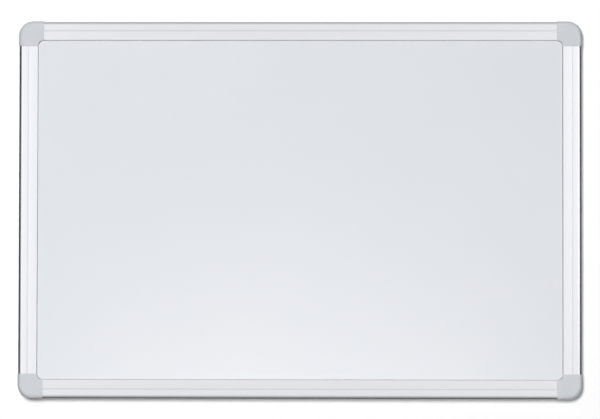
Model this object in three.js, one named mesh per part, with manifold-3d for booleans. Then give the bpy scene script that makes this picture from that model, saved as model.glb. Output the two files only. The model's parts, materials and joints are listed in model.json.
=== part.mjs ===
// A magnetic whiteboard: a lacquered steel sheet on a light core, framed by four lengths of
// aluminium rail. Moulded corners join the rails and take the wall screws, and a push-on cover
// hides each of them.
//
// Millimetres. The writing side looks towards -Y and +Z is up. The origin is on the wall plane,
// behind the middle of the board.

import * as THREE from 'three';
import { mergeVertices } from 'three/addons/utils/BufferGeometryUtils.js';
import Module from 'manifold-3d';

// The board, over the outer faces of its rails
const boardWidth = 900;
const boardHeight = 603;
const wallStandoff = 2.5; // the corner pads hold the rails this far off the wall

// Clearances
const pushGap = 0.25; // between pieces that push together
const coverGap = 0.2; // between a cover and what it slips over
const panelEdgePlay = 1; // between the panel's edge and the bottom of its channel

// The panel's three plies, bonded face to face
const sheetThickness = 0.4;
const coreThickness = 9.3;
const backThickness = 0.3;

// The rail's section
const railFace = 31; // from the outer face to the tip of the lip
const railDepth = 17.5;
const railBox = 22; // width of the hollow part, outer face to web
const railWall = 1.4;
const railEdgeRadius = 6;
const railBackRadius = 0.8;
const flangeReach = 8; // the flange behind the panel, from the web
const grooveInset = 15; // from the outer face to the middle of the groove
const grooveWidth = 1.2;
const grooveFloor = 0.7; // width at the bottom of the groove
const grooveDepth = 0.6;
const lipSlope = 37.5 * Math.PI / 180; // the lip's front falls towards the panel by this angle
const lipTip = 0.6; // radius of the lip's tip
const lipShoulder = 1; // radius where the slope leaves the face

// The corner bodies
const cornerLap = 1; // the square corner bodies reach this far past the lips
const bodyWall = 1.8;
const bodyFloor = 3;
const spigotLength = 35;
const spigotTaper = 0.8; // off each side at the tip
const spigotTaperLength = 1.5;
const spigotPocketLength = 9;
const wallScrewInset = 14.5; // from both outer faces
const wallScrewHole = 5.2;
const wallScrewHead = 10.4;
const wallScrewHeadDepth = 3.5;
const bossDiameter = 13.6;
const bossHeight = 8; // from the wall plane
const ribThickness = 1.4;
const ribHeight = 6.5; // from the wall plane

// The push-on covers
const coverWall = 1.2;
const coverCornerRadius = 24;
const coverFillet = 6.4; // in the inner corner, over the panel
const coverLap = 2; // from the end of the fillet to the end of each leg
const coverEdge = 0.5; // small rounding round the rim of the cover's face
const coverLift = 1; // the skirt stops this far off the wall
const coverEndTaper = 1; // the skirt thins by this much towards the end of each leg
const coverEndTaperLength = 1.6;
const pegDiameter = 6;
const pegBore = 3.4;
const pegSetback = 6; // along a leg, from the rail's end back to the peg
const pegInset = 9; // in from the outer face
const pegEnd = 5.5; // how far the tip stays off the wall plane
const pegSlit = 1;
const pegSlitLength = 8;
const socketWall = 1.5;
const socketHeight = 12; // from the wall plane

// The screws that hold the rails on the spigots
const screwAlong = 18; // from the rail's end
const screwShank = 3.2;
const screwHead = 6.8;
const screwHeadHeight = 2;
const screwLength = 11;
const screwPoint = 2.5;

// Levels forward of the wall plane
const railFront = wallStandoff + railDepth;
const lipBack = railFront - railWall;
const panelFront = lipBack - pushGap;
const coreFront = panelFront - sheetThickness;
const coreBack = coreFront - coreThickness;
const panelBack = coreBack - backThickness;
const flangeFront = panelBack - pushGap;
const coverBack = railFront + coverGap;
const coverFront = coverBack + coverWall;

// Places worked out from the sizes above, from the board's outer faces inward
const cornerZone = railFace + cornerLap;
const coverLeg = railFace + coverFillet + coverLap;
const pegAlong = cornerZone - pegSetback;
const coverOutset = coverGap + coverWall;
const cornerRadius = coverCornerRadius - coverOutset;
const railStart = cornerZone + pushGap;
const railMiddle = railBox / 2;
const screwPlace = railStart + screwAlong;
const panelInset = railBox + panelEdgePlay;

// Flats that a curve is made of
const cornerSteps = 10;
const edgeSteps = 6;
const filletSteps = 6;
const smallSteps = 2;
const roundSides = 16;
const beyond = 5; // how far a cutter reaches past what it cuts

const down = new THREE.Vector3(0, 0, -1);
const left = new THREE.Vector3(-1, 0, 0);
const forward = new THREE.Vector3(0, -1, 0);
const wallNormal = new THREE.Vector3(0, 1, 0);
const acrossDiagonal = new THREE.Matrix4().makeBasis(down, wallNormal, left);

const wasm = await Module();
wasm.setup();

// A closed mesh as a solid that can be joined and cut
function solid(geometry, mirrored = false) {
  geometry.deleteAttribute('normal');
  geometry.deleteAttribute('uv');
  const merged = mergeVertices(geometry, 1e-4);
  const corners = merged.index.array;
  const triangles = [];
  for (let i = 0; i < corners.length; i += 3) {
    const [a, b, c] = corners.slice(i, i + 3);
    if (a === b || b === c || c === a) continue;
    triangles.push(a, mirrored ? c : b, mirrored ? b : c);
  }
  return new wasm.Manifold(new wasm.Mesh({
    numProp: 3,
    vertProperties: merged.attributes.position.array,
    triVerts: new Uint32Array(triangles),
  }));
}

// The same shape on both legs of a corner, the second reflected in the corner's diagonal
function onBothLegs(geometry) {
  const reflected = geometry.clone().applyMatrix4(acrossDiagonal);
  return solid(geometry).add(solid(reflected, true));
}

function geometryOf(body) {
  const { vertProperties, triVerts } = body.getMesh();
  const geometry = new THREE.BufferGeometry();
  geometry.setAttribute('position', new THREE.BufferAttribute(vertProperties, 3));
  geometry.setIndex(new THREE.BufferAttribute(triVerts, 1));
  geometry.computeVertexNormals();
  return geometry;
}

// A rounding added to an outline, between two angles about its centre
function roundOff(outline, x, y, radius, from, to, steps) {
  for (let i = 0; i <= steps; i += 1) {
    const angle = from + (to - from) * i / steps;
    outline.lineTo(x + radius * Math.cos(angle), y + radius * Math.sin(angle));
  }
}

// An outline given depth, with both ends rounded or tapered where an edge is asked for
function extruded(outline, depth, edge = { inward: 0, along: 0, steps: 0 }) {
  const geometry = new THREE.ExtrudeGeometry(outline, {
    depth: depth - 2 * edge.along,
    bevelEnabled: edge.steps > 0,
    bevelThickness: edge.along,
    bevelSize: edge.inward,
    bevelOffset: -edge.inward,
    bevelSegments: edge.steps,
  });
  return geometry.translate(0, 0, edge.along);
}

// An outline drawn as the board is seen from the front, standing out from the wall
function outFromWall(outline, back, front, edge) {
  return extruded(outline, front - back, edge).rotateX(Math.PI / 2).translate(0, -back, 0);
}

// A section drawn as distance inward from the top outer face and distance out from the wall,
// run to the right
function alongTop(section, start, end, edge) {
  const turn = new THREE.Matrix4().makeBasis(down, forward, left);
  return extruded(section, end - start, edge).applyMatrix4(turn).translate(end, 0, 0);
}

// A block, a round post and a hole, placed by distances across and down from the board's
// top left outer corner and out from the wall
function block(across, downwards, outwards) {
  const [x0, x1] = across;
  const [z0, z1] = downwards;
  const [y0, y1] = outwards;
  const geometry = new THREE.BoxGeometry(x1 - x0, y1 - y0, z1 - z0);
  return geometry.translate((x0 + x1) / 2, -(y0 + y1) / 2, -(z0 + z1) / 2);
}

function post(diameter, across, downwards, back, front) {
  const radius = diameter / 2;
  const geometry = new THREE.CylinderGeometry(radius, radius, front - back, roundSides);
  return geometry.translate(across, -(back + front) / 2, -downwards);
}

// The outline of the rail's extrusion: rounded outside, a groove along its face, a lip that
// slopes down to the panel in front of it and a flange behind it
function railOutline() {
  const flangeBack = flangeFront - railWall;
  const squareToSlope = Math.PI / 2 - lipSlope;
  const lipFall = railWall - lipTip * Math.cos(lipSlope)
    - lipShoulder * (1 - Math.cos(lipSlope));
  const shoulder = railFace - lipTip - lipFall / Math.tan(lipSlope)
    - (lipShoulder - lipTip) * Math.sin(lipSlope);
  const outline = new THREE.Shape();
  outline.moveTo(railBox, flangeBack);
  outline.lineTo(railBox + flangeReach, flangeBack);
  outline.lineTo(railBox + flangeReach, flangeFront);
  outline.lineTo(railBox, flangeFront);
  outline.lineTo(railBox, lipBack);
  roundOff(outline, railFace - lipTip, lipBack, lipTip, 0, squareToSlope, smallSteps);
  roundOff(outline, shoulder, railFront - lipShoulder, lipShoulder,
    squareToSlope, Math.PI / 2, smallSteps);
  outline.lineTo(grooveInset + grooveWidth / 2, railFront);
  outline.lineTo(grooveInset + grooveFloor / 2, railFront - grooveDepth);
  outline.lineTo(grooveInset - grooveFloor / 2, railFront - grooveDepth);
  outline.lineTo(grooveInset - grooveWidth / 2, railFront);
  roundOff(outline, railEdgeRadius, railFront - railEdgeRadius, railEdgeRadius,
    Math.PI / 2, Math.PI, edgeSteps);
  roundOff(outline, railBackRadius, wallStandoff + railBackRadius, railBackRadius,
    Math.PI, Math.PI * 1.5, smallSteps);
  roundOff(outline, railBox - railBackRadius, wallStandoff + railBackRadius, railBackRadius,
    -Math.PI / 2, 0, smallSteps);
  return outline;
}

// The rail's chamber, or with an inset the spigot that pushes into it
function chamberOutline(inset) {
  const outer = railWall + inset;
  const inner = railBox - railWall - inset;
  const back = wallStandoff + railWall + inset;
  const front = railFront - railWall - inset;
  const radius = railEdgeRadius - railWall - inset;
  const outline = new THREE.Shape();
  outline.moveTo(outer, back);
  outline.lineTo(inner, back);
  outline.lineTo(inner, front);
  roundOff(outline, outer + radius, front - radius, radius, Math.PI / 2, Math.PI, edgeSteps);
  outline.closePath();
  return outline;
}

// A length of rail, with a screw hole through its back near each end
function railGeometry(length) {
  const section = railOutline();
  section.holes.push(chamberOutline(0));
  let rail = solid(alongTop(section, -length / 2, length / 2));
  for (const end of [-1, 1]) {
    const place = end * (length / 2 - screwAlong);
    const hole = post(screwShank + 2 * pushGap, place, railMiddle, 0, wallStandoff + 2 * railWall);
    rail = rail.subtract(solid(hole));
  }
  return geometryOf(rail);
}

// A square round the top left corner of the board, its outer corner rounded, drawn outset from
// the rails' outer faces
function cornerPlan(outset, reach) {
  const plan = new THREE.Shape();
  plan.moveTo(-outset, -reach);
  plan.lineTo(reach, -reach);
  plan.lineTo(reach, outset);
  roundOff(plan, cornerRadius, -cornerRadius, cornerRadius + outset,
    Math.PI / 2, Math.PI, cornerSteps);
  plan.closePath();
  return plan;
}

// What fills the sharp inner corner between the two lips, in front of the panel
function gussetPlan() {
  const lipLine = railFace + pushGap;
  const centre = railFace + coverFillet;
  const rise = Math.asin((centre - lipLine) / coverFillet);
  const plan = new THREE.Shape();
  plan.moveTo(railBox, -railBox);
  plan.lineTo(cornerZone, -railBox);
  plan.lineTo(cornerZone, -lipLine);
  roundOff(plan, centre, -centre, coverFillet, Math.PI - rise, Math.PI / 2 + rise, filletSteps);
  plan.lineTo(lipLine, -cornerZone);
  plan.lineTo(railBox, -cornerZone);
  return plan;
}

// A hollow spigot for the end of a rail, with a solid middle for the screw
function spigots() {
  const taper = { inward: spigotTaper, along: spigotTaperLength, steps: 1 };
  const start = cornerZone - bodyWall;
  const tip = cornerZone + spigotLength;
  const side = railWall + pushGap + bodyWall;
  const across = [side, railBox - side];
  const outwards = [wallStandoff + side, railFront];
  const nearPocket = [cornerZone + bodyWall, cornerZone + bodyWall + spigotPocketLength];
  const farPocket = [tip - bodyWall - spigotPocketLength, tip - bodyWall];
  return onBothLegs(alongTop(chamberOutline(pushGap), start, tip, taper))
    .subtract(onBothLegs(block(nearPocket, across, outwards)))
    .subtract(onBothLegs(block(farPocket, across, outwards)))
    .subtract(onBothLegs(post(screwShank + pushGap, screwPlace, railMiddle,
      wallStandoff, wallStandoff + screwLength + pushGap)));
}

// Ribs from the wall-screw boss out to the walls and to the panel's pocket
function ribs() {
  const half = ribThickness / 2;
  const standing = [bodyFloor, ribHeight];
  const straight = block([wallScrewInset - half, wallScrewInset + half],
    [bodyWall / 2, wallScrewInset], standing);
  const reach = Math.hypot(1, 1) * (railBox - wallScrewInset);
  const diagonal = block([0, reach], [-half, half], standing).rotateY(-Math.PI / 4)
    .translate(wallScrewInset, 0, -wallScrewInset);
  const within = outFromWall(cornerPlan(-bodyWall / 2, cornerZone), 0, ribHeight);
  return onBothLegs(straight).add(solid(diagonal)).intersect(solid(within));
}

// The moulded corner under a cover: floor, outer wall, an end plate against each rail, a block
// that holds the panel's corner, and the boss, sockets and spigots
function cornerBodyGeometry() {
  const wallFront = railFront - railEdgeRadius;
  const blockStart = railBox - bodyWall;
  const blockSide = [blockStart, cornerZone];
  const pocketSide = [railBox, cornerZone + beyond];
  const coreHole = [blockStart + bodyWall, cornerZone - bodyWall];

  const floor = solid(outFromWall(cornerPlan(0, cornerZone), 0, bodyFloor));
  const outerWall = solid(outFromWall(cornerPlan(0, cornerZone), 0, wallFront))
    .subtract(solid(outFromWall(cornerPlan(-bodyWall, cornerZone + beyond), -beyond,
      wallFront + beyond)));
  const endPlates = onBothLegs(alongTop(railOutline(), cornerZone - bodyWall, cornerZone));
  const panelBlock = solid(block(blockSide, blockSide, [0, railFront]))
    .add(solid(outFromWall(gussetPlan(), lipBack, railFront)));
  const boss = solid(post(bossDiameter, wallScrewInset, wallScrewInset, 0, bossHeight));
  const sockets = onBothLegs(post(pegDiameter + 2 * (coverGap + socketWall), pegAlong, pegInset,
    0, socketHeight));

  const body = floor.add(outerWall).add(endPlates).add(panelBlock).add(boss).add(sockets)
    .add(ribs()).add(spigots())
    .subtract(solid(block(pocketSide, pocketSide, [flangeFront, lipBack])))
    .subtract(solid(block(coreHole, coreHole, [-beyond, flangeFront - bodyWall])))
    .subtract(solid(post(wallScrewHole, wallScrewInset, wallScrewInset, -beyond, bossHeight)))
    .subtract(solid(post(wallScrewHead, wallScrewInset, wallScrewInset,
      bossHeight - wallScrewHeadDepth, bossHeight + beyond)))
    .subtract(onBothLegs(post(pegDiameter + 2 * coverGap, pegAlong, pegInset,
      bodyFloor, socketHeight + beyond)));
  return geometryOf(body);
}

// The L that a cover makes on the board's face: legs over both rails, the ends thinned on the
// outside, and a fillet in the inner corner
function coverPlan() {
  const outside = coverOutset + beyond;
  const taperStart = coverLeg - (coverEndTaper + beyond) * coverEndTaperLength / coverEndTaper;
  const thinned = coverOutset - coverEndTaper;
  const centre = railFace + coverFillet;
  const plan = new THREE.Shape();
  plan.moveTo(coverLeg, -railFace);
  plan.lineTo(coverLeg, thinned);
  plan.lineTo(taperStart, outside);
  plan.lineTo(-outside, outside);
  plan.lineTo(-outside, -taperStart);
  plan.lineTo(-thinned, -coverLeg);
  plan.lineTo(railFace, -coverLeg);
  roundOff(plan, centre, -centre, coverFillet, Math.PI, Math.PI / 2, filletSteps);
  return plan;
}

// A split tube that pushes into a socket of the corner body
function pegs() {
  const tube = onBothLegs(post(pegDiameter, pegAlong, pegInset, pegEnd, coverBack));
  const bore = onBothLegs(post(pegBore, pegAlong, pegInset, 0, coverBack));
  const slit = onBothLegs(block([pegAlong - pegSlit / 2, pegAlong + pegSlit / 2],
    [pegInset - pegDiameter, pegInset + pegDiameter], [0, pegEnd + pegSlitLength]));
  return tube.subtract(bore).subtract(slit);
}

// A push-on cover: an even shell round the corner, cut to its L, with two pegs inside
function coverGeometry() {
  const reach = coverLeg + beyond * 2;
  const outerEdge = railEdgeRadius + coverOutset;
  const innerEdge = railEdgeRadius + coverGap;
  const outerRound = { inward: outerEdge, along: outerEdge, steps: edgeSteps };
  const innerRound = { inward: innerEdge, along: innerEdge, steps: edgeSteps };
  const rim = { inward: coverEdge, along: coverEdge, steps: 1 };
  const behind = coverLift - beyond - outerEdge;

  const outside = solid(outFromWall(cornerPlan(coverOutset, reach), behind, coverFront,
    outerRound));
  const inside = solid(outFromWall(cornerPlan(coverGap, reach), behind, coverBack, innerRound));
  const face = solid(outFromWall(coverPlan(), coverLift, coverFront, rim));
  return geometryOf(outside.subtract(inside).intersect(face).add(pegs()));
}

// A pan-head screw, head against the back of the rail, turned from the point to the head
function screwGeometry() {
  const headFront = wallStandoff - pushGap / 2;
  const headBack = headFront - screwHeadHeight;
  const shank = screwShank / 2;
  const head = screwHead / 2;
  const tip = wallStandoff + screwLength;
  const profile = [
    new THREE.Vector2(0, -tip),
    new THREE.Vector2(shank, screwPoint - tip),
    new THREE.Vector2(shank, -headFront),
    new THREE.Vector2(head, -headFront),
    new THREE.Vector2(head, -headFront + screwHeadHeight * 0.4),
    new THREE.Vector2(head * 0.85, -headFront + screwHeadHeight * 0.8),
    new THREE.Vector2(head * 0.6, -headBack),
    new THREE.Vector2(0, -headBack),
  ];
  return geometryOf(solid(new THREE.LatheGeometry(profile, roundSides)));
}

function plate(thickness) {
  const width = boardWidth - 2 * panelInset;
  const height = boardHeight - 2 * panelInset;
  return new THREE.BoxGeometry(width, thickness, height);
}

function material(color, roughness, metalness) {
  return new THREE.MeshStandardMaterial({ color, roughness, metalness });
}

const lacquer = material(0xeef1f5, 0.15, 0);
const coreBoard = material(0xb99f78, 0.9, 0);
const galvanised = material(0xb4b9bd, 0.45, 0.9);
const anodised = material(0xd8dadd, 0.35, 0.9);
const coverPlastic = material(0xcdd1d8, 0.45, 0);
const bodyPlastic = material(0x9ea3a9, 0.6, 0);
const zinc = material(0xc6c8c8, 0.35, 0.9);

function named(name, geometry, finish) {
  const mesh = new THREE.Mesh(geometry, finish);
  mesh.name = name;
  return mesh;
}

// The panel, ply on ply
function panel() {
  const group = new THREE.Group();
  const sheet = named('writing_sheet', plate(sheetThickness), lacquer);
  const core = named('core_board', plate(coreThickness), coreBoard);
  const backSheet = named('back_sheet', plate(backThickness), galvanised);
  sheet.position.y = -(panelFront + coreFront) / 2;
  core.position.y = -(coreFront + coreBack) / 2;
  backSheet.position.y = -(coreBack + panelBack) / 2;
  group.add(sheet, core, backSheet);
  return group;
}

// The sides and corners in turn, clockwise from the top left as seen from the front. Each
// corner stands at the start of the side that has its number.
const sideNames = ['top', 'right', 'bottom', 'left'];
const cornerNames = ['top_left', 'top_right', 'bottom_right', 'bottom_left'];
const cornerPlaces = [[-1, 1], [1, 1], [1, -1], [-1, -1]];

const longRail = railGeometry(boardWidth - 2 * railStart);
const shortRail = railGeometry(boardHeight - 2 * railStart);
const cornerBody = cornerBodyGeometry();
const cover = coverGeometry();
const screw = screwGeometry();

function side(number) {
  const lyingDown = number % 2 === 0;
  const group = new THREE.Group();
  const rail = named(`rail_${sideNames[number]}`, lyingDown ? longRail : shortRail, anodised);
  rail.position.z = (lyingDown ? boardHeight : boardWidth) / 2;
  group.rotation.y = number * Math.PI / 2;
  group.add(rail);
  return group;
}

function corner(number) {
  const name = cornerNames[number];
  const [across, up] = cornerPlaces[number];
  const startingSide = sideNames[number];
  const endingSide = sideNames[(number + 3) % 4];
  const group = new THREE.Group();
  const startingScrew = named(`corner_screw_${name}_${startingSide}_rail`, screw, zinc);
  const endingScrew = named(`corner_screw_${name}_${endingSide}_rail`, screw, zinc);
  startingScrew.position.set(screwPlace, 0, -railMiddle);
  endingScrew.position.set(railMiddle, 0, -screwPlace);
  group.add(named(`corner_body_${name}`, cornerBody, bodyPlastic));
  group.add(named(`corner_cover_${name}`, cover, coverPlastic));
  group.add(startingScrew, endingScrew);
  group.position.set(across * boardWidth / 2, 0, up * boardHeight / 2);
  group.rotation.y = number * Math.PI / 2;
  return group;
}

const whiteboard = new THREE.Group();
whiteboard.add(panel());
for (let number = 0; number < 4; number += 1) {
  whiteboard.add(side(number));
  whiteboard.add(corner(number));
}

export default whiteboard;
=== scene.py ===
"""Dresses a wall-hung magnetic whiteboard in its finishes, and lights it for a photograph.

Metres. The writing side looks towards -Y, +Z is up, and the wall is the plane Y = 0.
"""

import json
import math

import bmesh
import bpy
from mathutils import Matrix, Vector

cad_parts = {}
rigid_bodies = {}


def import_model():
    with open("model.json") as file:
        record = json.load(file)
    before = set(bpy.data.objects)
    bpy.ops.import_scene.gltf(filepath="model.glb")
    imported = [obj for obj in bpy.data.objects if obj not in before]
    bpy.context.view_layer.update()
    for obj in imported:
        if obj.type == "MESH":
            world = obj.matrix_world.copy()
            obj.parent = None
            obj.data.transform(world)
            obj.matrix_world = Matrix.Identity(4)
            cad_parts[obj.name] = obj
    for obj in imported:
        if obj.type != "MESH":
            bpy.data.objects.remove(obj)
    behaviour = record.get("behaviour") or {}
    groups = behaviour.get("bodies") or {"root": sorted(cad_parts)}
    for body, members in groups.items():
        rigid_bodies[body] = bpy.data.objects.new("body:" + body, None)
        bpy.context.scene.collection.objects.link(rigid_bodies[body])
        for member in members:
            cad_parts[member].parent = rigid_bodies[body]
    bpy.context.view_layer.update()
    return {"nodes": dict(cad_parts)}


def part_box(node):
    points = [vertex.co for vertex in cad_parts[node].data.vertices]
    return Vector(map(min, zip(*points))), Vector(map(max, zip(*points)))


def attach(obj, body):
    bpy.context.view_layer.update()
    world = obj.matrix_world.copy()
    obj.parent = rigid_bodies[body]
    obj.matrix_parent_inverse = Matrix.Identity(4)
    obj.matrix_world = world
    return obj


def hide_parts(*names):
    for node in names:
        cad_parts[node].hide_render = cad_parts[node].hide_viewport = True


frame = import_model()


# The writing sheet
# A sheet of cold-rolled steel that magnets hold to, coated in baked white lacquer and bonded to the
# core. It is glossy, with faint orange peel and the haze of a cloth, and a grey line of painted
# shade runs along the gap where the corner covers curve over it.

lacquer_white = (0.765, 0.790, 0.826)
lacquer_hazed = (0.748, 0.775, 0.813)
lacquer_roughness = 0.16
wiped_roughness = 0.23
clear_coat = 0.4
clear_coat_roughness = 0.06
orange_peel_size = 0.0016
orange_peel_depth = 0.000004
wipe_length = 0.35
wipe_width = 0.03
wipe_slant = 0.25
wipe_wander = 0.6
haze_size = 0.30
# Painted shade: the grey and the width of a line along the gap where the covers curve over the
# sheet.
painted_gap_shade = (0.20, 0.21, 0.235)
painted_shade_width = 0.0012
cover_fillet = 0.0064


def add_node(tree, kind, inputs=None, **settings):
    """Adds a node with its settings, and with its inputs set to values or linked to sockets."""
    node = tree.nodes.new(kind)
    for name, value in settings.items():
        setattr(node, name, value)
    for key, value in (inputs or {}).items():
        if isinstance(value, bpy.types.NodeSocket):
            tree.links.new(value, node.inputs[key])
        else:
            node.inputs[key].default_value = value
    return node


def new_finish(name, constants):
    """A material, its node tree and its shader, with what is the same all over set on it."""
    finish = bpy.data.materials.new(name)
    finish.use_nodes = True
    shader = finish.node_tree.nodes["Principled BSDF"]
    for socket, value in constants.items():
        shader.inputs[socket].default_value = value
    return finish, finish.node_tree, shader


def place_on_piece(tree, size, turn=0.0):
    """Object coordinates, divided by the size of a pattern, and turned about the board's face."""
    position = add_node(tree, "ShaderNodeTexCoord").outputs["Object"]
    return add_node(tree, "ShaderNodeMapping", {
        "Vector": position,
        "Rotation": (0, turn, 0),
        "Scale": [1 / length for length in size],
    }).outputs["Vector"]


def patches(tree, where, detail=2.0, distortion=0.0):
    """Soft noise over a pattern's own coordinates."""
    return add_node(tree, "ShaderNodeTexNoise", {
        "Vector": where,
        "Scale": 1.0,
        "Detail": detail,
        "Distortion": distortion,
    }).outputs["Fac"]


def between(tree, factor, low, high, start=0.3, end=0.7):
    """A value that goes from low to high as a noise goes from start to end."""
    return add_node(tree, "ShaderNodeMapRange", {
        "Value": factor,
        "From Min": start,
        "From Max": end,
        "To Min": low,
        "To Max": high,
    }).outputs["Result"]


def shade_between(tree, factor, low, high, start=0.3, end=0.7):
    """A colour that goes from low to high as a noise goes from start to end."""
    ramp = add_node(tree, "ShaderNodeValToRGB", {"Fac": factor})
    ramp.color_ramp.elements[0].position = start
    ramp.color_ramp.elements[1].position = end
    ramp.color_ramp.elements[0].color = (*low, 1)
    ramp.color_ramp.elements[1].color = (*high, 1)
    return ramp.outputs["Color"]


def raised(tree, height, depth):
    """The normal of a surface with that relief."""
    inputs = {"Height": height, "Distance": depth, "Strength": 1.0}
    return add_node(tree, "ShaderNodeBump", inputs).outputs["Normal"]


def join(tree, output, shader, socket):
    """Links an output to one of the shader's sockets."""
    tree.links.new(output, shader.inputs[socket])


def maths(tree, operation, *values):
    """The result of a sum with one, two or three values."""
    inputs = dict(enumerate(values))
    return add_node(tree, "ShaderNodeMath", inputs, operation=operation).outputs[0]


def gap_shade_mask(tree):
    """Where shade is painted: 1 along the curve of the frame in the sheet's four corners, and 0 on
    the rest of it.
    """
    position = add_node(tree, "ShaderNodeTexCoord").outputs["Object"]
    across = add_node(tree, "ShaderNodeSeparateXYZ", {"Vector": position}).outputs
    frame_edges = (("X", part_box("rail_right")[0].x), ("Z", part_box("rail_top")[0].z))
    past = []
    for axis, edge in frame_edges:
        distance = maths(tree, "ABSOLUTE", across[axis])
        beyond = maths(tree, "SUBTRACT", distance, edge - cover_fillet)
        past.append(maths(tree, "MAXIMUM", beyond, 0.0))
    squares = [maths(tree, "MULTIPLY", length, length) for length in past]
    from_centre = maths(tree, "SQRT", maths(tree, "ADD", *squares))
    near_curve = between(tree, from_centre, 0, 1, cover_fillet - painted_shade_width,
                         cover_fillet - painted_shade_width / 2)
    in_corner = between(tree, maths(tree, "MINIMUM", *past), 0, 1, 0, painted_shade_width)
    return maths(tree, "MULTIPLY", near_curve, in_corner)


def lacquered_steel():
    finish, tree, shader = new_finish("lacquered_steel", {
        "Coat Weight": clear_coat,
        "Coat Roughness": clear_coat_roughness,
    })
    haze = patches(tree, place_on_piece(tree, (haze_size,) * 3))
    along_wipes = place_on_piece(tree, (wipe_length, 1, wipe_width), turn=wipe_slant)
    wipes = patches(tree, along_wipes, detail=3, distortion=wipe_wander)
    peel = patches(tree, place_on_piece(tree, (orange_peel_size,) * 3), detail=1)
    clean = shade_between(tree, haze, lacquer_hazed, lacquer_white)
    # Painted shade along the gap where the covers' curved edge stands over the sheet.
    gap_shaded = add_node(tree, "ShaderNodeMixRGB", {
        "Fac": gap_shade_mask(tree),
        "Color1": clean,
        "Color2": (*painted_gap_shade, 1),
    })
    join(tree, gap_shaded.outputs["Color"], shader, "Base Color")
    join(tree, between(tree, wipes, lacquer_roughness, wiped_roughness), shader, "Roughness")
    join(tree, raised(tree, peel, orange_peel_depth), shader, "Normal")
    return finish


def finish_node(name, finish):
    """Gives a solid that is carried over from the CAD model its finish."""
    node = frame["nodes"][name]
    node.data.materials.clear()
    node.data.materials.append(finish)


finish_node("writing_sheet", lacquered_steel())


# The core board
# A light board of pressed grey-brown paper, glued between the two steel sheets to keep them flat.
# It only shows if the frame is taken apart.

core_brown = (0.46, 0.36, 0.24)
core_light = (0.58, 0.47, 0.33)
core_roughness = 0.9
fibre_length = 0.006
fibre_width = 0.0006
fibre_depth = 0.0001


def board_core():
    finish, tree, shader = new_finish("board_core", {"Roughness": core_roughness})
    along_fibres = place_on_piece(tree, (fibre_length, fibre_width, fibre_length))
    fibres = patches(tree, along_fibres, detail=4)
    join(tree, shade_between(tree, fibres, core_brown, core_light), shader, "Base Color")
    join(tree, raised(tree, fibres, fibre_depth), shader, "Normal")
    return finish


finish_node("core_board", board_core())


# The back sheet
# Thin hot-dip galvanised steel, bonded to the back of the core so that the board can't bow. The
# zinc freezes in spangles, each with its own brightness and gloss.

zinc_dark = (0.42, 0.44, 0.46)
zinc_light = (0.66, 0.68, 0.70)
zinc_metallic = 0.9
spangle_size = 0.012
spangle_waver = 0.5
wavers_per_spangle = 2.0
bright_spangle_roughness = 0.34
dull_spangle_roughness = 0.52
rolling_length = 0.4
rolling_width = 0.002
rolling_depth = 0.00001


def galvanised_steel():
    finish, tree, shader = new_finish("galvanised_steel", {"Metallic": zinc_metallic})
    where = place_on_piece(tree, (spangle_size,) * 3)
    waver = add_node(tree, "ShaderNodeTexNoise", {
        "Vector": where,
        "Scale": wavers_per_spangle,
        "Detail": 3.0,
    })
    nudge = add_node(tree, "ShaderNodeVectorMath", {
        0: waver.outputs["Color"],
        "Scale": spangle_waver,
    }, operation="SCALE")
    warped = add_node(tree, "ShaderNodeVectorMath", {0: where, 1: nudge.outputs[0]}, operation="ADD")
    spangles = add_node(tree, "ShaderNodeTexVoronoi", {"Vector": warped.outputs[0]})
    crystal = add_node(tree, "ShaderNodeSeparateColor", {"Color": spangles.outputs["Color"]})
    rolled = patches(tree, place_on_piece(tree, (rolling_length, 1, rolling_width)), detail=3)
    shade = shade_between(tree, crystal.outputs["Red"], zinc_dark, zinc_light, 0, 1)
    roughness = between(tree, crystal.outputs["Green"], bright_spangle_roughness,
                        dull_spangle_roughness, 0, 1)
    join(tree, shade, shader, "Base Color")
    join(tree, roughness, shader, "Roughness")
    join(tree, raised(tree, rolled, rolling_depth), shader, "Normal")
    return finish


finish_node("back_sheet", galvanised_steel())


# The rails
# Four lengths of one aluminium extrusion, sawn square, anodised natural silver and pushed over the
# corner bodies' spigots. The outer edge is rounded, a fine groove runs along the face, and a
# sloping lip laps over the sheet.

rail_sides = ("top", "right", "bottom", "left")
rail_wall = 0.0014
rail_chamber = 0.022
rail_edge_radius = 0.006
rail_back_radius = 0.0008
flange_reach = 0.008
flange_front = 0.0081
groove_place = 0.015
groove_mouth = 0.0012
groove_floor = 0.0007
groove_depth = 0.0006
groove_rounding = 0.00015
groove_turn = 67
lip_slope = 37.5
lip_tip = 0.0006
lip_shoulder = 0.001
curve_step = math.radians(6)
anodised_silver = (0.785, 0.790, 0.825)
anodised_shadow = (0.779, 0.784, 0.819)
anodised_roughness = 0.265
grained_roughness = 0.315
drawn_anisotropy = 0.6
grain_length = 0.25
grain_width = 0.0005
grain_depth = 0.0000012
die_line_width = 0.0022
sharp_edge = math.radians(28)
weld_distance = 0.000002


def rounding(centre, radius, start, end):
    """Points round an arc, from one angle in degrees to another."""
    sweep = math.radians(end - start)
    steps = max(2, math.ceil(abs(sweep) / curve_step))
    angles = [math.radians(start) + sweep * i / steps for i in range(steps + 1)]
    return [(centre[0] + radius * math.cos(a), centre[1] + radius * math.sin(a)) for a in angles]


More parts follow.
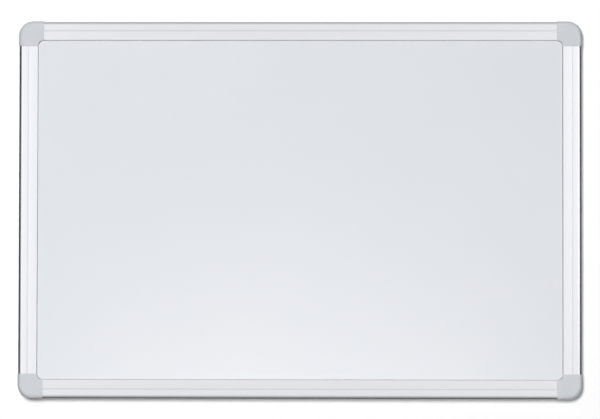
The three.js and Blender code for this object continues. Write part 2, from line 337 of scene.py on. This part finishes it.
def rail_section(face, back, front):
    """The outlines of the metal and of the chamber in it, as distance in from the outer face
    and distance out from the wall."""
    lip_back = front - rail_wall
    flange_back = flange_front - rail_wall
    corner = rail_edge_radius - rail_wall
    groove_left = groove_place - groove_mouth / 2
    groove_right = groove_place + groove_mouth / 2
    slope = math.radians(lip_slope)
    fall = rail_wall - lip_tip * math.cos(slope) - lip_shoulder * (1 - math.cos(slope))
    shoulder = face - lip_tip - fall / math.tan(slope) - (lip_shoulder - lip_tip) * math.sin(slope)
    metal = [
        (rail_chamber, flange_back),
        (rail_chamber + flange_reach, flange_back),
        (rail_chamber + flange_reach, flange_front),
        (rail_chamber, flange_front),
        (rail_chamber, lip_back),
        *rounding((face - lip_tip, lip_back), lip_tip, 0, 90 - lip_slope),
        *rounding((shoulder, front - lip_shoulder), lip_shoulder, 90 - lip_slope, 90),
        *rounding((groove_right + groove_rounding, front - groove_rounding), groove_rounding,
                  90, 90 + groove_turn),
        (groove_place + groove_floor / 2, front - groove_depth),
        (groove_place - groove_floor / 2, front - groove_depth),
        *rounding((groove_left - groove_rounding, front - groove_rounding), groove_rounding,
                  90 - groove_turn, 90),
        *rounding((rail_edge_radius, front - rail_edge_radius), rail_edge_radius, 90, 180),
        *rounding((rail_back_radius, back + rail_back_radius), rail_back_radius, 180, 270),
        *rounding((rail_chamber - rail_back_radius, back + rail_back_radius), rail_back_radius,
                  270, 360),
    ]
    chamber = [
        (rail_wall, back + rail_wall),
        (rail_chamber - rail_wall, back + rail_wall),
        (rail_chamber - rail_wall, lip_back),
        *rounding((rail_edge_radius, front - rail_edge_radius), corner, 90, 180),
    ]
    return metal, chamber


def anodised_aluminium():
    finish, tree, shader = new_finish("anodised_aluminium", {
        "Metallic": 1.0,
        "Anisotropic": drawn_anisotropy,
    })
    along = add_node(tree, "ShaderNodeUVMap", uv_map="grain").outputs["UV"]

    def streaks(width):
        where = add_node(tree, "ShaderNodeMapping", {
            "Vector": along,
            "Scale": (1 / width, 1 / grain_length, 1),
        })
        return patches(tree, where.outputs["Vector"], detail=3)

    grain = streaks(grain_width)
    lines = streaks(die_line_width)
    tangent = add_node(tree, "ShaderNodeTangent", direction_type="UV_MAP", uv_map="grain")
    join(tree, shade_between(tree, lines, anodised_shadow, anodised_silver), shader, "Base Color")
    join(tree, between(tree, grain, anodised_roughness, grained_roughness), shader, "Roughness")
    join(tree, raised(tree, grain, grain_depth), shader, "Normal")
    join(tree, tangent.outputs["Tangent"], shader, "Tangent")
    return finish


def start_tree(name, inputs, result):
    """A tree with those inputs, each with its kind, and one shape for its result."""
    tree = bpy.data.node_groups.new(name, "GeometryNodeTree")
    for label, kind in inputs.items():
        tree.interface.new_socket(label, in_out="INPUT", socket_type=f"NodeSocket{kind}")
    tree.interface.new_socket(result, in_out="OUTPUT", socket_type="NodeSocketGeometry")
    return tree, add_node(tree, "NodeGroupInput").outputs


def end_tree(tree, shape, finish, result):
    """Makes a tree's copies real, gives the whole its finish and hands it out."""
    real = add_node(tree, "GeometryNodeRealizeInstances", {"Geometry": shape})
    dressed = add_node(tree, "GeometryNodeSetMaterial", {
        "Geometry": real.outputs["Geometry"],
        "Material": finish,
    })
    add_node(tree, "NodeGroupOutput", {result: dressed.outputs["Geometry"]})


def extrusion_tree(finish):
    """Fills a section and pushes it out to a length, closed at both ends."""
    tree, given = start_tree("extrusion", {"Section": "Geometry", "Length": "Float"}, "Rail")
    outline = add_node(tree, "GeometryNodeMeshToCurve", {"Mesh": given["Section"]})
    filled = add_node(tree, "GeometryNodeFillCurve", {"Curve": outline.outputs["Curve"]})
    pushed = add_node(tree, "GeometryNodeExtrudeMesh", {
        "Mesh": filled.outputs["Mesh"],
        "Offset": (0, 0, 1),
        "Offset Scale": given["Length"],
        "Individual": False,
    })
    near_end = add_node(tree, "GeometryNodeFlipFaces", {"Mesh": filled.outputs["Mesh"]})
    both = add_node(tree, "GeometryNodeJoinGeometry", {"Geometry": pushed.outputs["Mesh"]})
    tree.links.new(near_end.outputs["Mesh"], both.inputs["Geometry"])
    closed = add_node(tree, "GeometryNodeMergeByDistance", {
        "Geometry": both.outputs["Geometry"],
        "Distance": weld_distance,
    })
    end_tree(tree, closed.outputs["Geometry"], finish, "Rail")
    return tree


def new_piece(name, mesh):
    """An object at the origin with that mesh."""
    piece = bpy.data.objects.new(name, mesh)
    bpy.context.scene.collection.objects.link(piece)
    return piece


def made_by(tree, name, start_mesh, values):
    """The plain mesh that a tree makes of a starting mesh, with its named inputs set."""
    maker = new_piece(name, start_mesh)
    modifier = maker.modifiers.new(name, "NODES")
    modifier.node_group = tree
    for item in tree.interface.items_tree:
        if item.in_out == "INPUT" and item.name in values:
            modifier[item.identifier] = values[item.name]
    graph = bpy.context.evaluated_depsgraph_get()
    mesh = bpy.data.meshes.new_from_object(maker.evaluated_get(graph))
    bpy.data.objects.remove(maker)
    mesh.name = name
    return mesh


def smooth_but_sharp(mesh):
    """Smooth shading, broken where two faces meet at a sharp edge."""
    mesh.shade_smooth()
    mesh.set_sharp_from_angle(angle=sharp_edge)


def outlines_mesh(name, outlines):
    """A mesh of closed outlines, with edges only."""
    mesh = bpy.data.meshes.new(name)
    points = [(x, y, 0) for outline in outlines for x, y in outline]
    edges = []
    for outline in outlines:
        first = len(edges)
        count = len(outline)
        edges += [(first + i, first + (i + 1) % count) for i in range(count)]
    mesh.from_pydata(points, edges, [])
    return mesh


def mark_grain(mesh):
    """A map that runs round a section and along its length, for what follows the grain."""
    grain = mesh.uv_layers.new(name="grain")
    for loop in mesh.loops:
        point = mesh.vertices[loop.vertex_index].co
        grain.data[loop.index].uv = (point.x + point.y, point.z)


def rail_place(side):
    """From a section's own axes to the board: in from the outer face, out from the wall, and
    along the rail."""
    low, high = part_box(f"rail_{side}")
    middle = (low + high) / 2
    inward, corner = {
        "top": (Vector((0, 0, -1)), Vector((middle.x, 0, high.z))),
        "right": (Vector((-1, 0, 0)), Vector((high.x, 0, middle.z))),
        "bottom": (Vector((0, 0, 1)), Vector((middle.x, 0, low.z))),
        "left": (Vector((1, 0, 0)), Vector((low.x, 0, middle.z))),
    }[side]
    outward = Vector((0, -1, 0))
    turn = Matrix((inward, outward, inward.cross(outward))).transposed().to_4x4()
    return Matrix.Translation(corner) @ turn


rail_low, rail_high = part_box("rail_top")
rail_outlines = rail_section(rail_high.z - rail_low.z, -rail_high.y, -rail_low.y)
extrude_rail = extrusion_tree(anodised_aluminium())
for side in rail_sides:
    low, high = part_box(f"rail_{side}")
    length = max(high - low)
    section = outlines_mesh(f"section_{side}", rail_outlines)
    mesh = made_by(extrude_rail, f"{side}_rail", section, {"Length": length})
    mesh.transform(Matrix.Translation((0, 0, -length / 2)))
    mark_grain(mesh)
    smooth_but_sharp(mesh)
    mesh.transform(rail_place(side))
    rail = new_piece(f"{side}_rail", mesh)
    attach(rail, "board")
    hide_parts(f"rail_{side}")


# The corner bodies
# Grey injection-moulded corners with two spigots that push into the rails, a pocket for the
# panel's corner, and a ribbed boss for the wall screw. A pad at the back rests on the wall.

corner_names = ("top_left", "top_right", "bottom_right", "bottom_left")
moulded_edge = 0.00025
moulded_edge_steps = 2
moulded_edge_angle = math.radians(40)
flat_within = math.radians(0.5)
plastic_ior = 1.5
body_grey = (0.335, 0.350, 0.372)
body_pale = (0.375, 0.390, 0.412)
body_smooth_roughness = 0.5
body_dull_roughness = 0.6
flow_size = 0.03
flow_swirl = 1.0
moulded_grain = 0.0005
moulded_grain_depth = 0.00002


def body_plastic():
    finish, tree, shader = new_finish("body_plastic", {"IOR": plastic_ior})
    flow = patches(tree, place_on_piece(tree, (flow_size,) * 3), distortion=flow_swirl)
    grain = patches(tree, place_on_piece(tree, (moulded_grain,) * 3))
    join(tree, shade_between(tree, flow, body_grey, body_pale), shader, "Base Color")
    join(tree, between(tree, flow, body_smooth_roughness, body_dull_roughness), shader, "Roughness")
    join(tree, raised(tree, grain, moulded_grain_depth), shader, "Normal")
    return finish


def merged_copy(node_name, piece_name):
    """A node's own shape as a new piece, its loose triangles joined into whole flat faces, and
    without the map and the set normals that it came with."""
    mesh = frame["nodes"][node_name].data.copy()
    mesh.name = piece_name
    shape = bmesh.new()
    shape.from_mesh(mesh)
    bmesh.ops.remove_doubles(shape, verts=shape.verts, dist=weld_distance)
    bmesh.ops.dissolve_limit(shape, angle_limit=flat_within, verts=shape.verts, edges=shape.edges)
    shape.to_mesh(mesh)
    shape.free()
    for name in [layer.name for layer in mesh.uv_layers]:
        mesh.uv_layers.remove(mesh.uv_layers[name])
    if mesh.has_custom_normals:
        mesh.normals_split_custom_set([(0, 0, 0)] * len(mesh.loops))
    return new_piece(piece_name, mesh)


def soften_edges(piece, width):
    """Rounds a moulding's edges, and keeps its flat faces flat."""
    bevel = piece.modifiers.new("moulded edges", "BEVEL")
    bevel.width = width
    bevel.segments = moulded_edge_steps
    bevel.limit_method = "ANGLE"
    bevel.angle_limit = moulded_edge_angle
    bevel.harden_normals = True
    piece.data.shade_smooth()


grey_plastic = body_plastic()
for corner in corner_names:
    body = merged_copy(f"corner_body_{corner}", f"moulded_corner_{corner}")
    body.data.materials.clear()
    body.data.materials.append(grey_plastic)
    soften_edges(body, moulded_edge)
    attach(body, "board")
    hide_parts(f"corner_body_{corner}")


# The corner covers
# Pale grey satin mouldings pushed over the corners to hide the wall screws. Each is a thin
# shell round the corner, cut to an L, with two split pegs that grip in the corner's sockets.

cover_wall = 0.0012
skirt_wall = 0.0006
cover_gap = 0.0002
cover_outset = skirt_wall + cover_gap
cover_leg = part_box("corner_cover_top_left")[1].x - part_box("rail_left")[0].x
cover_lift = 0.001
cover_front = 0.0214
cover_corner_radius = 0.0234
cover_edge_radius = 0.0074
cover_rim = 0.0005
rim_turns = (0, 30, 60, 90)
end_taper = 0.0004
end_taper_length = 0.0016
cover_grey = (0.640, 0.668, 0.702)
cover_shade = (0.617, 0.646, 0.683)
cover_smooth_roughness = 0.36
cover_dull_roughness = 0.46
spark_grain = 0.00035
spark_grain_depth = 0.000006
peg_along = 0.026
peg_inset = 0.009
peg_diameter = 0.006
peg_bore = 0.0034
peg_end = 0.0055
peg_slit = 0.001
peg_slit_length = 0.008
peg_root = 0.0001
peg_sides = 32


def cover_plastic():
    finish, tree, shader = new_finish("cover_plastic", {"IOR": plastic_ior})
    drift = patches(tree, place_on_piece(tree, (flow_size,) * 3))
    grain = patches(tree, place_on_piece(tree, (spark_grain,) * 3))
    join(tree, shade_between(tree, drift, cover_shade, cover_grey), shader, "Base Color")
    roughness = between(tree, grain, cover_smooth_roughness, cover_dull_roughness)
    join(tree, roughness, shader, "Roughness")
    join(tree, raised(tree, grain, spark_grain_depth), shader, "Normal")
    return finish


def cover_columns():
    """Where the shell is cut across its path, from the end of one leg to the corner's diagonal.

    Each is a point on the rails' outer faces with the way out from it, a point on the inner
    edge, and how far the shell's end has rounded off there and been thinned."""
    rail_face = rail_high.z - rail_low.z
    radius = cover_corner_radius - cover_outset
    fillet_start = rail_face + cover_fillet
    ways_along = []
    for angle in reversed([math.radians(turn) for turn in rim_turns]):
        back = cover_rim * (1 - math.sin(angle))
        drop = cover_rim * (1 - math.cos(angle))
        ways_along.append((cover_leg - back, drop))
    ways_along += [(cover_leg - end_taper_length * share, 0) for share in (0.5, 0.75, 1)]
    ways_along.append((fillet_start, 0))
    columns = []
    for x, drop in ways_along:
        taper = max(0, 1 - (cover_leg - x) / end_taper_length) * end_taper
        columns.append(((x, 0), (0, 1), (x, -rail_face), drop, taper))
    straight = fillet_start - radius
    arc = radius * math.pi / 4
    steps = 14
    for i in range(1, steps + 1):
        travelled = (straight + arc) * i / steps
        inner = math.radians(90 + 45 * i / steps)
        inner_point = (fillet_start + cover_fillet * math.cos(inner),
                       -fillet_start + cover_fillet * math.sin(inner))
        if travelled <= straight:
            columns.append(((fillet_start - travelled, 0), (0, 1), inner_point, 0, 0))
        else:
            turn = math.pi / 2 + (travelled - straight) / radius
            out = (math.cos(turn), math.sin(turn))
            point = (radius + radius * out[0], -radius + radius * out[1])
            columns.append((point, out, inner_point, 0, 0))
    return columns


def cover_shell(outset, front, edge_radius, rounds_off):
    """One skin of the shell as rows of points, each row running from the skirt's rim to the
    inner edge. A point lies so far across, so far up and so far out from the wall."""
    section = [(outset, cover_lift), (outset, (cover_lift + front - edge_radius) / 2)]
    section += rounding((outset - edge_radius, front - edge_radius), edge_radius, 0, 90)
    rim = cover_rim if rounds_off else 0
    rows = []
    for outer, out, inner, drop, taper in cover_columns():
        if not rounds_off:
            drop = taper = 0
        row = []
        for offset, level in section:
            offset = min(offset - drop, cover_outset - taper)
            level = level - drop if level > cover_lift else level
            row.append((outer[0] + out[0] * offset, outer[1] + out[1] * offset, level))
        start = row[-1]
        way_in = (inner[0] - start[0], inner[1] - start[1])
        flat_end = 1 - cover_rim / math.hypot(*way_in)
        face = [(flat_end * share, drop) for share in (0.25, 0.5, 0.75)]
        for angle in [math.radians(turn) for turn in rim_turns]:
            lowered = max(drop, rim * (1 - math.cos(angle)))
            face.append((flat_end + (1 - flat_end) * math.sin(angle), lowered))
        for share, lowered in face:
            row.append((start[0] + way_in[0] * share, start[1] + way_in[1] * share, front - lowered))
        rows.append(row)
    mirrored = [[(-y, -x, level) for x, y, level in row] for row in rows[-2::-1]]
    return rows + mirrored


def shell_mesh(name, outside, inside):
    """A closed mesh from two skins with the same rows, joined round their rims."""
    shape = bmesh.new()

    def grid(rows):
        return [[shape.verts.new((x, -level, y)) for x, y, level in row] for row in rows]

    outer, inner = grid(outside), grid(inside)
    last_row, last = len(outer) - 1, len(outer[0]) - 1
    for skin in (outer, inner):
        for i in range(last_row):
            for j in range(last):
                shape.faces.new((skin[i][j], skin[i + 1][j], skin[i + 1][j + 1], skin[i][j + 1]))
    for j in (0, last):
        for i in range(last_row):
            shape.faces.new((outer[i][j], outer[i + 1][j], inner[i + 1][j], inner[i][j]))
    for i in (0, last_row):
        for j in range(last):
            shape.faces.new((outer[i][j], outer[i][j + 1], inner[i][j + 1], inner[i][j]))
    bmesh.ops.recalc_face_normals(shape, faces=shape.faces)
    mesh = bpy.data.meshes.new(name)
    shape.to_mesh(mesh)
    shape.free()
    return mesh


def tube(shape, x, z, bore, diameter, back, front, start=0.0, sweep=360.0):
    """A length of tube standing out from the wall, or the part of one between two angles."""
    whole = sweep == 360
    steps = peg_sides if whole else peg_sides // 2
    corners = ((bore / 2, back), (diameter / 2, back), (diameter / 2, front), (bore / 2, front))
    rings = []
    for i in range(steps + (0 if whole else 1)):
        angle = math.radians(start + sweep * i / steps)
        rings.append([
            shape.verts.new((x + r * math.cos(angle), -level, z + r * math.sin(angle)))
            for r, level in corners])
    count = len(rings) if whole else len(rings) - 1
    faces = []
    for i in range(count):
        a, b = rings[i], rings[(i + 1) % len(rings)]
        for j in range(4):
            k = (j + 1) % 4
            faces.append(shape.faces.new((a[j], a[k], b[k], b[j])))
    if not whole:
        faces += [shape.faces.new(rings[0]), shape.faces.new(rings[-1])]
    bmesh.ops.recalc_face_normals(shape, faces=faces)


def add_pegs(mesh):
    """Two tubes under the face, each split into two prongs towards its tip."""
    shape = bmesh.new()
    shape.from_mesh(mesh)
    slit_top = peg_end + peg_slit_length
    face_back = cover_front - cover_wall
    half_slit = math.degrees(math.asin(peg_slit / peg_diameter))
    for x, z, slit_way in ((peg_along, -peg_inset, 90), (peg_inset, -peg_along, 0)):
        tube(shape, x, z, peg_bore, peg_diameter, slit_top, face_back + peg_root)
        for side_turn in (0, 180):
            tube(shape, x, z, peg_bore, peg_diameter, peg_end, slit_top,
                 slit_way + side_turn + half_slit, 180 - 2 * half_slit)
    shape.to_mesh(mesh)
    shape.free()


def corner_place(number):
    """From the top left corner's own axes to the corner with that number, clockwise."""
    low = Vector((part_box("rail_left")[0].x, 0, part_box("rail_bottom")[0].z))
    high = Vector((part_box("rail_right")[1].x, 0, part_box("rail_top")[1].z))
    corner = ((low.x, high.z), (high.x, high.z), (high.x, low.z), (low.x, low.z))[number]
    turn = Matrix.Rotation(number * math.pi / 2, 4, "Y")
    return Matrix.Translation((corner[0], 0, corner[1])) @ turn


cover_mesh = shell_mesh(
    "corner_cover",
    cover_shell(cover_outset, cover_front, cover_edge_radius, True),
    cover_shell(cover_gap, cover_front - cover_wall, cover_edge_radius - cover_wall, False))
add_pegs(cover_mesh)
cover_mesh.materials.append(cover_plastic())
smooth_but_sharp(cover_mesh)
for number, corner in enumerate(corner_names):
    mesh = cover_mesh.copy()
    mesh.transform(corner_place(number))
    cover = new_piece(f"push_on_cover_{corner}", mesh)
    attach(cover, f"cover_{corner}")
    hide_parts(f"corner_cover_{corner}")
bpy.data.meshes.remove(cover_mesh)


# The corner screws
# Eight zinc-plated pan-head screws with a cross recess. Each goes through the back of a rail's
# end into a spigot of the corner inside it.

screw_shank = 0.0032
screw_head = 0.0068
screw_head_height = 0.002
screw_head_rim = 0.0008
screw_length = 0.011125
screw_point = 0.0025
screw_seat_from_wall = 0.002375
recess_width = 0.0011
recess_reach = 0.0038
recess_depth = 0.0013
screw_sides = 32
screw_turn_seed = 4
zinc_blue = (0.70, 0.72, 0.74)
zinc_yellow = (0.74, 0.73, 0.70)
plated_roughness = 0.26
clouded_roughness = 0.38
plating_size = 0.003


def zinc_plated_steel():
    finish, tree, shader = new_finish("zinc_plated_steel", {"Metallic": 1.0})
    cloud = patches(tree, place_on_piece(tree, (plating_size,) * 3), detail=3)
    join(tree, shade_between(tree, cloud, zinc_blue, zinc_yellow), shader, "Base Color")
    join(tree, between(tree, cloud, plated_roughness, clouded_roughness), shader, "Roughness")
    return finish


def screw_blank():
    """A screw turned from its point to its head, with the seat of the head at Z = 0."""
    shank = screw_shank / 2
    head = screw_head / 2
    rise = screw_head_height - screw_head_rim
    profile = [(0, -screw_length), (shank, screw_point - screw_length), (shank, 0), (head, 0)]
    for angle in [math.radians(turn) for turn in range(0, 90, 18)]:
        profile.append((head * math.cos(angle), screw_head_rim + rise * math.sin(angle)))
    profile.append((0, screw_head_height))
    shape = bmesh.new()
    points = [shape.verts.new((r, 0, z)) for r, z in profile]
    edges = [shape.edges.new(pair) for pair in zip(points, points[1:])]
    bmesh.ops.spin(shape, geom=points + edges, axis=(0, 0, 1), cent=(0, 0, 0), steps=screw_sides,
                   angle=math.tau)
    bmesh.ops.remove_doubles(shape, verts=shape.verts, dist=weld_distance)
    bmesh.ops.recalc_face_normals(shape, faces=shape.faces)
    mesh = bpy.data.meshes.new("screw_blank")
    shape.to_mesh(mesh)
    shape.free()
    return mesh


def screws_tree(finish):
    """Cuts a cross recess in a screw, and puts the screw at every point with a turn of its own."""
    tree, given = start_tree("screws", {
        "Places": "Geometry",
        "Blank": "Object",
        "Recess Reach": "Float",
        "Recess Width": "Float",
        "Recess Depth": "Float",
        "Head Height": "Float",
        "Seed": "Int",
    }, "Screws")
    blank = add_node(tree, "GeometryNodeObjectInfo", {"Object": given["Blank"]})
    twice_deep = maths(tree, "MULTIPLY", given["Recess Depth"], 2.0)
    top = add_node(tree, "ShaderNodeCombineXYZ", {"Z": given["Head Height"]}).outputs[0]
    cut = blank.outputs["Geometry"]
    for reach, width in (("Recess Reach", "Recess Width"), ("Recess Width", "Recess Reach")):
        size = add_node(tree, "ShaderNodeCombineXYZ", {
            "X": given[reach],
            "Y": given[width],
            "Z": twice_deep,
        })
        slot = add_node(tree, "GeometryNodeMeshCube", {"Size": size.outputs[0]})
        placed = add_node(tree, "GeometryNodeTransform", {
            "Geometry": slot.outputs["Mesh"],
            "Translation": top,
        })
        cut = add_node(tree, "GeometryNodeMeshBoolean", {
            "Mesh 1": cut,
            "Mesh 2": placed.outputs["Geometry"],
        }, operation="DIFFERENCE", solver="MANIFOLD").outputs["Mesh"]
    clean = add_node(tree, "GeometryNodeMergeByDistance", {
        "Geometry": cut,
        "Distance": weld_distance,
    })
    turn = add_node(tree, "FunctionNodeRandomValue", {
        2: 0.0,
        3: math.pi,
        "Seed": given["Seed"],
    }, data_type="FLOAT")
    about = add_node(tree, "ShaderNodeCombineXYZ", {"Z": turn.outputs[1]})
    driven = add_node(tree, "GeometryNodeInstanceOnPoints", {
        "Points": given["Places"],
        "Instance": clean.outputs["Geometry"],
        "Rotation": about.outputs[0],
    })
    end_tree(tree, driven.outputs["Instances"], finish, "Screws")
    return tree


screw_nodes = sorted(name for name in frame["nodes"] if name.startswith("corner_screw_"))
screw_middles = [sum(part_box(name), Vector()) / 2 for name in screw_nodes]
places_mesh = bpy.data.meshes.new("screw_places")
places_mesh.from_pydata([(m.x, -m.z, -screw_seat_from_wall) for m in screw_middles], [], [])
blank_object = new_piece("screw_blank", screw_blank())
screws_mesh = made_by(screws_tree(zinc_plated_steel()), "corner_screws", places_mesh, {
    "Blank": blank_object,
    "Recess Reach": recess_reach,
    "Recess Width": recess_width,
    "Recess Depth": recess_depth,
    "Head Height": screw_head_height,
    "Seed": screw_turn_seed,
})
bpy.data.objects.remove(blank_object)
screws_mesh.transform(Matrix.Rotation(-math.pi / 2, 4, "X"))
smooth_but_sharp(screws_mesh)
screws = new_piece("corner_screws", screws_mesh)
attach(screws, "board")
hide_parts(*screw_nodes)


# The wall and the floor
# A plain white wall that the pads rest on, curving out to a floor well below the board. Seen
# from behind or below it lets the view through, so that it never hides the board.

wall_gap = 0.0003
floor_level = -1.6
stage_reach = 14.0
cove_radius = 0.6
stage_white = 0.99
wall_glow = 0.12
floor_glow = 0.80


def stage_material():
    """White that glows a little for the camera, clear for every other ray and from behind."""
    finish = bpy.data.materials.new("stage_white")
    finish.use_nodes = True
    tree = finish.node_tree
    tree.nodes.clear()
    paint = add_node(tree, "ShaderNodeBsdfDiffuse", {"Color": (stage_white,) * 3 + (1,)})
    position = add_node(tree, "ShaderNodeTexCoord").outputs["Object"]
    height = add_node(tree, "ShaderNodeSeparateXYZ", {"Vector": position}).outputs["Z"]
    strength = between(tree, height, floor_glow, wall_glow, floor_level, floor_level + cove_radius)
    glow = add_node(tree, "ShaderNodeEmission", {"Color": (1, 1, 1, 1), "Strength": strength})
    lit = add_node(tree, "ShaderNodeAddShader", {0: paint.outputs[0], 1: glow.outputs[0]})
    clear = add_node(tree, "ShaderNodeBsdfTransparent")
    behind = add_node(tree, "ShaderNodeNewGeometry").outputs["Backfacing"]
    camera_ray = add_node(tree, "ShaderNodeLightPath").outputs["Is Camera Ray"]
    shown = maths(tree, "MULTIPLY", maths(tree, "SUBTRACT", 1.0, behind), camera_ray)
    mixed = add_node(tree, "ShaderNodeMixShader", {
        0: shown,
        1: clear.outputs[0],
        2: lit.outputs[0],
    })
    add_node(tree, "ShaderNodeOutputMaterial", {"Surface": mixed.outputs[0]})
    return finish


def stage_sweep():
    """The wall and floor as one strip, its front towards the board."""
    cove = [(wall_gap - cove_radius + cove_radius * math.cos(math.radians(a)),
             floor_level + cove_radius - cove_radius * math.sin(math.radians(a)))
            for a in range(0, 91, 10)]
    line = [(wall_gap, stage_reach), *cove, (-stage_reach, floor_level)]
    mesh = bpy.data.meshes.new("stage")
    points = [(x, y, z) for y, z in line for x in (-stage_reach, stage_reach)]
    faces = [(2 * i, 2 * i + 1, 2 * i + 3, 2 * i + 2) for i in range(len(line) - 1)]
    mesh.from_pydata(points, [], faces)
    if mesh.polygons[0].normal.y > 0:
        mesh.flip_normals()
    mesh.materials.append(stage_material())
    return new_piece("stage", mesh)


stage_sweep()


# The studio light
# A key lamp high on the left throws the board's soft shadow down and to the right. A soft box
# stands at either side and one behind, and three lamps lift the foot of the sheet and the covers'
# shaded sides. Black cards at the sides and below draw the dark outline along the metal.

surround_fill = 0.12
card_length = 3.6
standing_back = 1.1
lying_back = 2.2
side_card_place = 1.6


def soft_box(name, place, target, width, height, power, colour=(1, 1, 1)):
    """A flat lamp that faces its target and that the camera doesn't see."""
    lamp = bpy.data.lights.new(name, "AREA")
    lamp.shape = "RECTANGLE"
    lamp.size = width
    lamp.size_y = height
    lamp.energy = power
    lamp.color = colour
    box = bpy.data.objects.new(name, lamp)
    bpy.context.scene.collection.objects.link(box)
    box.location = place
    box.rotation_euler = (Vector(target) - Vector(place)).to_track_quat("-Z", "Y").to_euler()
    box.visible_camera = False
    return box


def light_only(lamp, pieces):
    """Keeps a lamp's light to some of the pieces."""
    lit = bpy.data.collections.new(f"lit_by_{lamp.name}")
    for piece in pieces:
        lit.objects.link(piece)
    lamp.light_linking.receiver_collection = lit


def shade_card(name, corners, shades, fade):
    """A card that only shows where metal and gloss reflect it. Its brightness goes from the
    first shade to the second over the stretch of Y that the fade gives."""
    mesh = bpy.data.meshes.new(name)
    mesh.from_pydata(corners, [], [(0, 1, 2, 3)])
    finish = bpy.data.materials.new(name)
    finish.use_nodes = True
    tree = finish.node_tree
    tree.nodes.clear()
    position = add_node(tree, "ShaderNodeTexCoord").outputs["Object"]
    depth = add_node(tree, "ShaderNodeSeparateXYZ", {"Vector": position}).outputs["Y"]
    shade = between(tree, depth, *shades, *fade)
    face = add_node(tree, "ShaderNodeEmission", {"Color": (1, 1, 1, 1), "Strength": shade})
    add_node(tree, "ShaderNodeOutputMaterial", {"Surface": face.outputs[0]})
    mesh.materials.append(finish)
    card = new_piece(name, mesh)
    for kind in ("camera", "diffuse", "transmission", "volume_scatter", "shadow"):
        setattr(card, f"visible_{kind}", False)


def standing_card(name, x, front, shades, fade):
    """An upright card beside the board."""
    half = card_length / 2
    shade_card(name, [(x, front, -half), (x, standing_back, -half), (x, standing_back, half),
                      (x, front, half)], shades, fade)


def lying_card(name, z, front, shades, fade):
    """A level card above or below the board."""
    half = card_length / 2
    shade_card(name, [(-half, front, z), (-half, lying_back, z), (half, lying_back, z),
                      (half, front, z)], shades, fade)


# The two side boxes only show where metal and gloss reflect them.
left_box = soft_box("left_box", place=(-1.4, -2.9, 0.4), target=(-0.3, 0, 0),
                    width=1.1, height=1.8, power=3.2)
right_box = soft_box("right_box", place=(1.8, -2.4, 0.65), target=(0.3, 0, 0),
                     width=1.9, height=1.8, power=8.4)
for side_box in (left_box, right_box):
    side_box.visible_diffuse = False

# The other lamps light the board and show in no reflection.
key = soft_box("key", place=(-1.33, -8.6, 2.15), target=(0, 0, 0),
               width=2.2, height=3.2, power=668)
back_box = soft_box("back_box", place=(0.6, 3.0, 1.2), target=(0, 0, 0),
                    width=2.0, height=2.0, power=60)
low_lamp = soft_box("low_lamp", place=(-0.03, -0.38, -0.43), target=(-0.03, 0, -0.25),
                    width=0.75, height=0.1, power=0.56, colour=(1.0, 0.96, 0.92))
bounce_below = soft_box("bounce_below", place=(0.25, -0.08, -1.0), target=(0.1, 0, -0.2),
                        width=1.8, height=0.14, power=3.0)
bounce_right = soft_box("bounce_right", place=(1.25, -0.07, -0.1), target=(0.3, 0, 0),
                        width=0.14, height=1.4, power=1.5)
for unseen_lamp in (key, back_box, low_lamp, bounce_below, bounce_right):
    unseen_lamp.visible_glossy = False

covers = [bpy.data.objects[f"push_on_cover_{corner}"] for corner in corner_names]
light_only(low_lamp, [frame["nodes"]["writing_sheet"]])
light_only(bounce_below, covers)
light_only(bounce_right, covers)

standing_card("left_card", x=-side_card_place, front=-1.35, shades=(0.3, 0.0), fade=(-1.35, -0.2))
standing_card("right_card", x=side_card_place, front=-1.1, shades=(0.1, 0.0), fade=(-1.1, -0.2))
lying_card("high_card", z=1.6, front=-2.2, shades=(0.95, 0.55), fade=(-2.2, -0.2))
lying_card("low_card", z=-1.5, front=-2.6, shades=(0.58, 0.0), fade=(-0.9, 0.5))


def surroundings():
    """White where the camera, metal or glass sees them, and a soft fill for everything else."""
    world = bpy.data.worlds.new("surroundings")
    world.use_nodes = True
    tree = world.node_tree
    tree.nodes.clear()
    ray = add_node(tree, "ShaderNodeLightPath").outputs
    seen = maths(tree, "MAXIMUM", ray["Is Camera Ray"], ray["Is Glossy Ray"])
    shown = maths(tree, "MAXIMUM", seen, ray["Is Transmission Ray"])
    fill = add_node(tree, "ShaderNodeBackground", {"Color": (1, 1, 1, 1), "Strength": surround_fill})
    white = add_node(tree, "ShaderNodeBackground", {"Color": (1, 1, 1, 1), "Strength": 1.0})
    mixed = add_node(tree, "ShaderNodeMixShader", {
        0: shown,
        1: fill.outputs[0],
        2: white.outputs[0],
    })
    add_node(tree, "ShaderNodeOutputWorld", {"Surface": mixed.outputs[0]})
    bpy.context.scene.world = world


surroundings()


# The camera
# A long lens a little below the board's middle and a hand's breadth to the right of it, as the
# photograph was taken.

camera_place = Vector((0.127, -6.5, -0.268))
camera_turn = math.radians(1.116)
camera_rise = math.radians(2.372)
camera_roll = math.radians(-0.106)
picture_width = 600
focal_length_in_pixels = 4062.2

camera_data = bpy.data.cameras.new("camera")
camera_data.lens = camera_data.sensor_width * focal_length_in_pixels / picture_width
camera_data.clip_end = 100
camera = bpy.data.objects.new("camera", camera_data)
bpy.context.scene.collection.objects.link(camera)
camera.location = camera_place
camera.rotation_euler = (math.pi / 2 + camera_rise, camera_roll, camera_turn)
bpy.context.scene.camera = camera
bpy.context.scene.view_settings.view_transform = "Standard"
